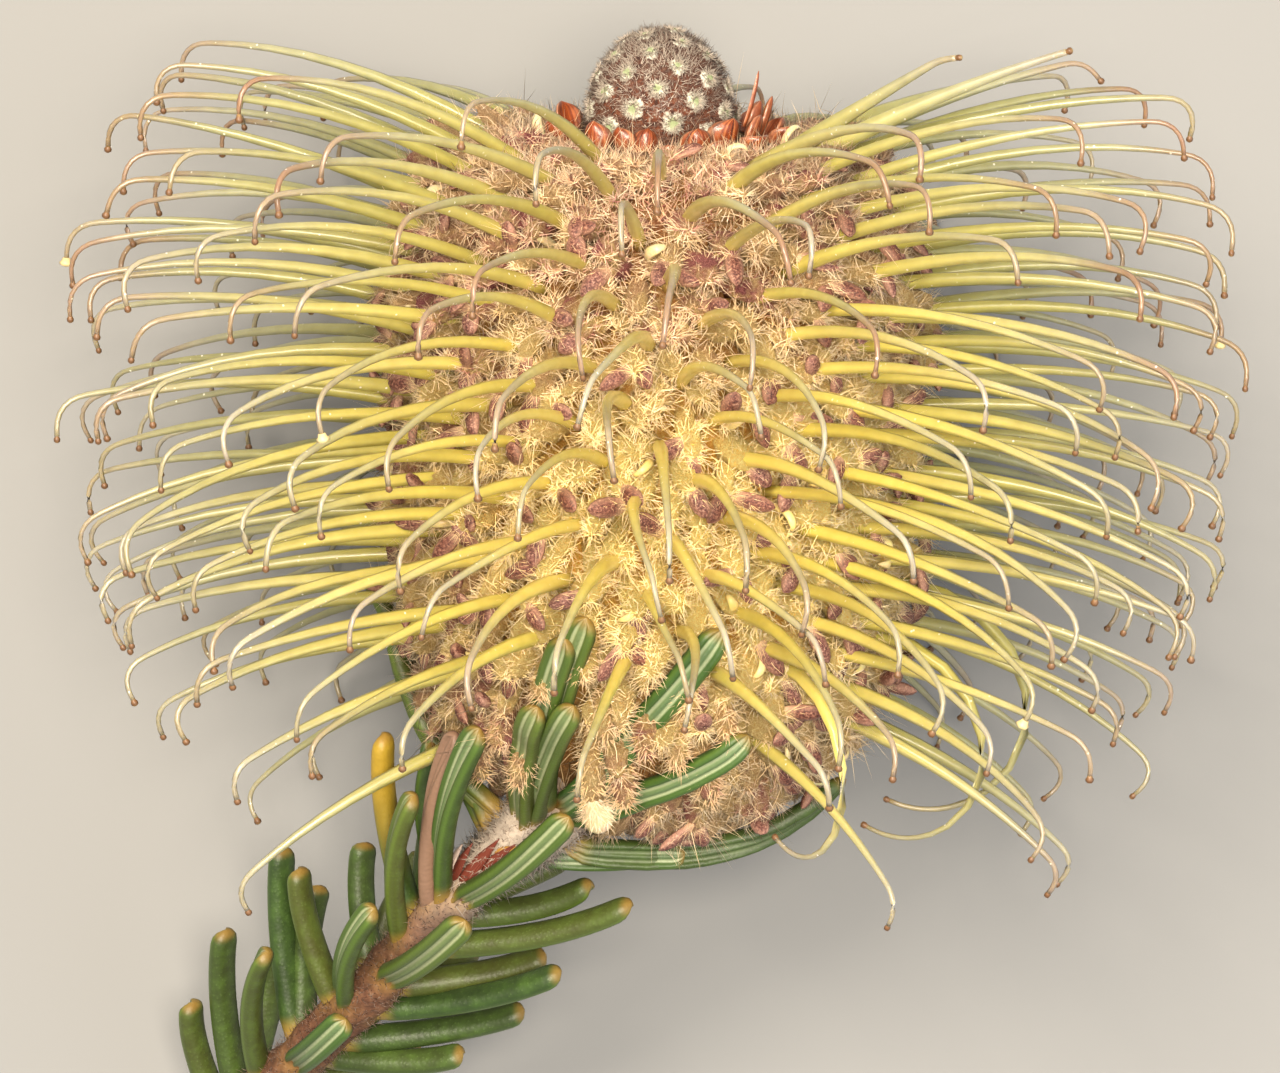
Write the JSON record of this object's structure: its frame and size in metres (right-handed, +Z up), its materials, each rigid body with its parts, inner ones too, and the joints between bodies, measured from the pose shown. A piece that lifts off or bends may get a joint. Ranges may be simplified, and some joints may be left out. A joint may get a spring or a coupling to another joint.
{
  "type": "banksia flower head",
  "caption": "Cut banksia flower head lying on its side: woolly florets, long hooked styles, a felted bud dome and a short leafy stem.",
  "frame": {"origin": "on the table (z = 0), under the middle of the flower's bounding box", "axes": "+Z up from the table; +Y along the head towards its bud dome, which points a little upwards; +X to the right of the head seen from above, bud end away; the cut stem runs down towards -X and -Y"},
  "size_m": [0.0621, 0.0646, 0.0572],
  "materials": {
    "woolly_florets": "matte",
    "bud_felt": "matte",
    "leaf_and_twig": "satin"
  },
  "bodies": {
    "root": {"flower_head": "woolly_florets", "bud_dome": "bud_felt", "leafy_stem": "leaf_and_twig"}
  },
  "joints": []
}
